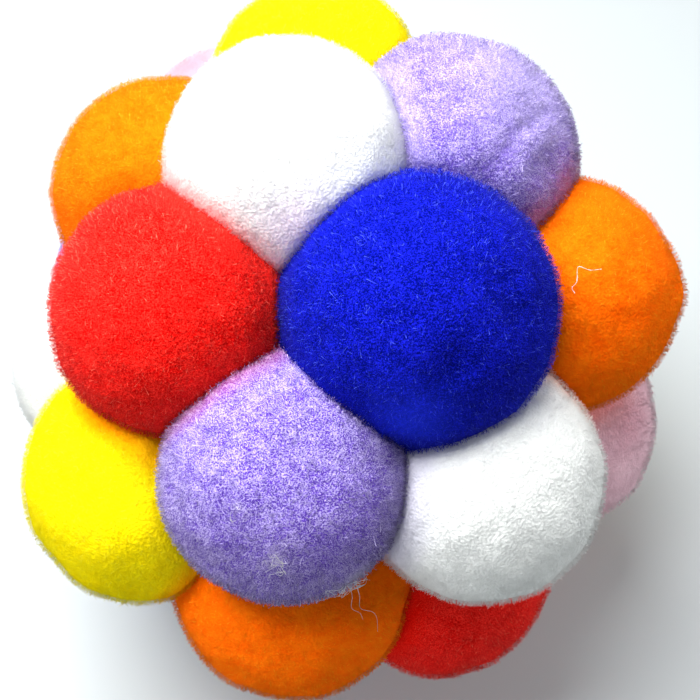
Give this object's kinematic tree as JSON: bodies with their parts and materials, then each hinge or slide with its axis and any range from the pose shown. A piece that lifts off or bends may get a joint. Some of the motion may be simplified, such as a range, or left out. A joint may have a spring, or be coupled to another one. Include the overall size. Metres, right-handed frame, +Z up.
{
  "type": "ball of plush pom poms",
  "caption": "Ball of clipped yarn pom poms in mixed colours, pressed and glued side by side, standing on small flat spots in its pile.",
  "frame": {"origin": "on the surface that the ball stands on, under the middle of its bounding box", "axes": "+Z up, -Y towards the side seen in the picture, +X to the picture's right"},
  "size_m": [0.0606, 0.0642, 0.062],
  "materials": {
    "white_pile": "dense clipped pile, matt",
    "blue_pile": "dense clipped pile, matt",
    "lavender_pile": "dense clipped pile, matt",
    "red_pile": "dense clipped pile, matt",
    "yellow_pile": "dense clipped pile, matt",
    "orange_pile": "dense clipped pile, matt",
    "pink_pile": "dense clipped pile, matt"
  },
  "bodies": {
    "root": {"crown_white": "white_pile", "upper_blue": "blue_pile", "upper_lavender": "lavender_pile", "upper_red": "red_pile", "upper_yellow": "yellow_pile", "shoulder_orange": "orange_pile", "front_lavender": "lavender_pile", "right_orange": "orange_pile", "front_white": "white_pile", "back_pink": "pink_pile", "back_blue": "blue_pile", "left_yellow": "yellow_pile", "back_orange": "orange_pile", "left_white": "white_pile", "front_orange": "orange_pile", "back_lavender": "lavender_pile", "right_pink": "pink_pile", "back_yellow": "yellow_pile", "lower_red": "red_pile", "lower_back_red": "red_pile", "lower_blue": "blue_pile", "lower_white": "white_pile", "foot_lavender": "lavender_pile", "foot_orange": "orange_pile", "foot_yellow": "yellow_pile"}
  },
  "joints": []
}
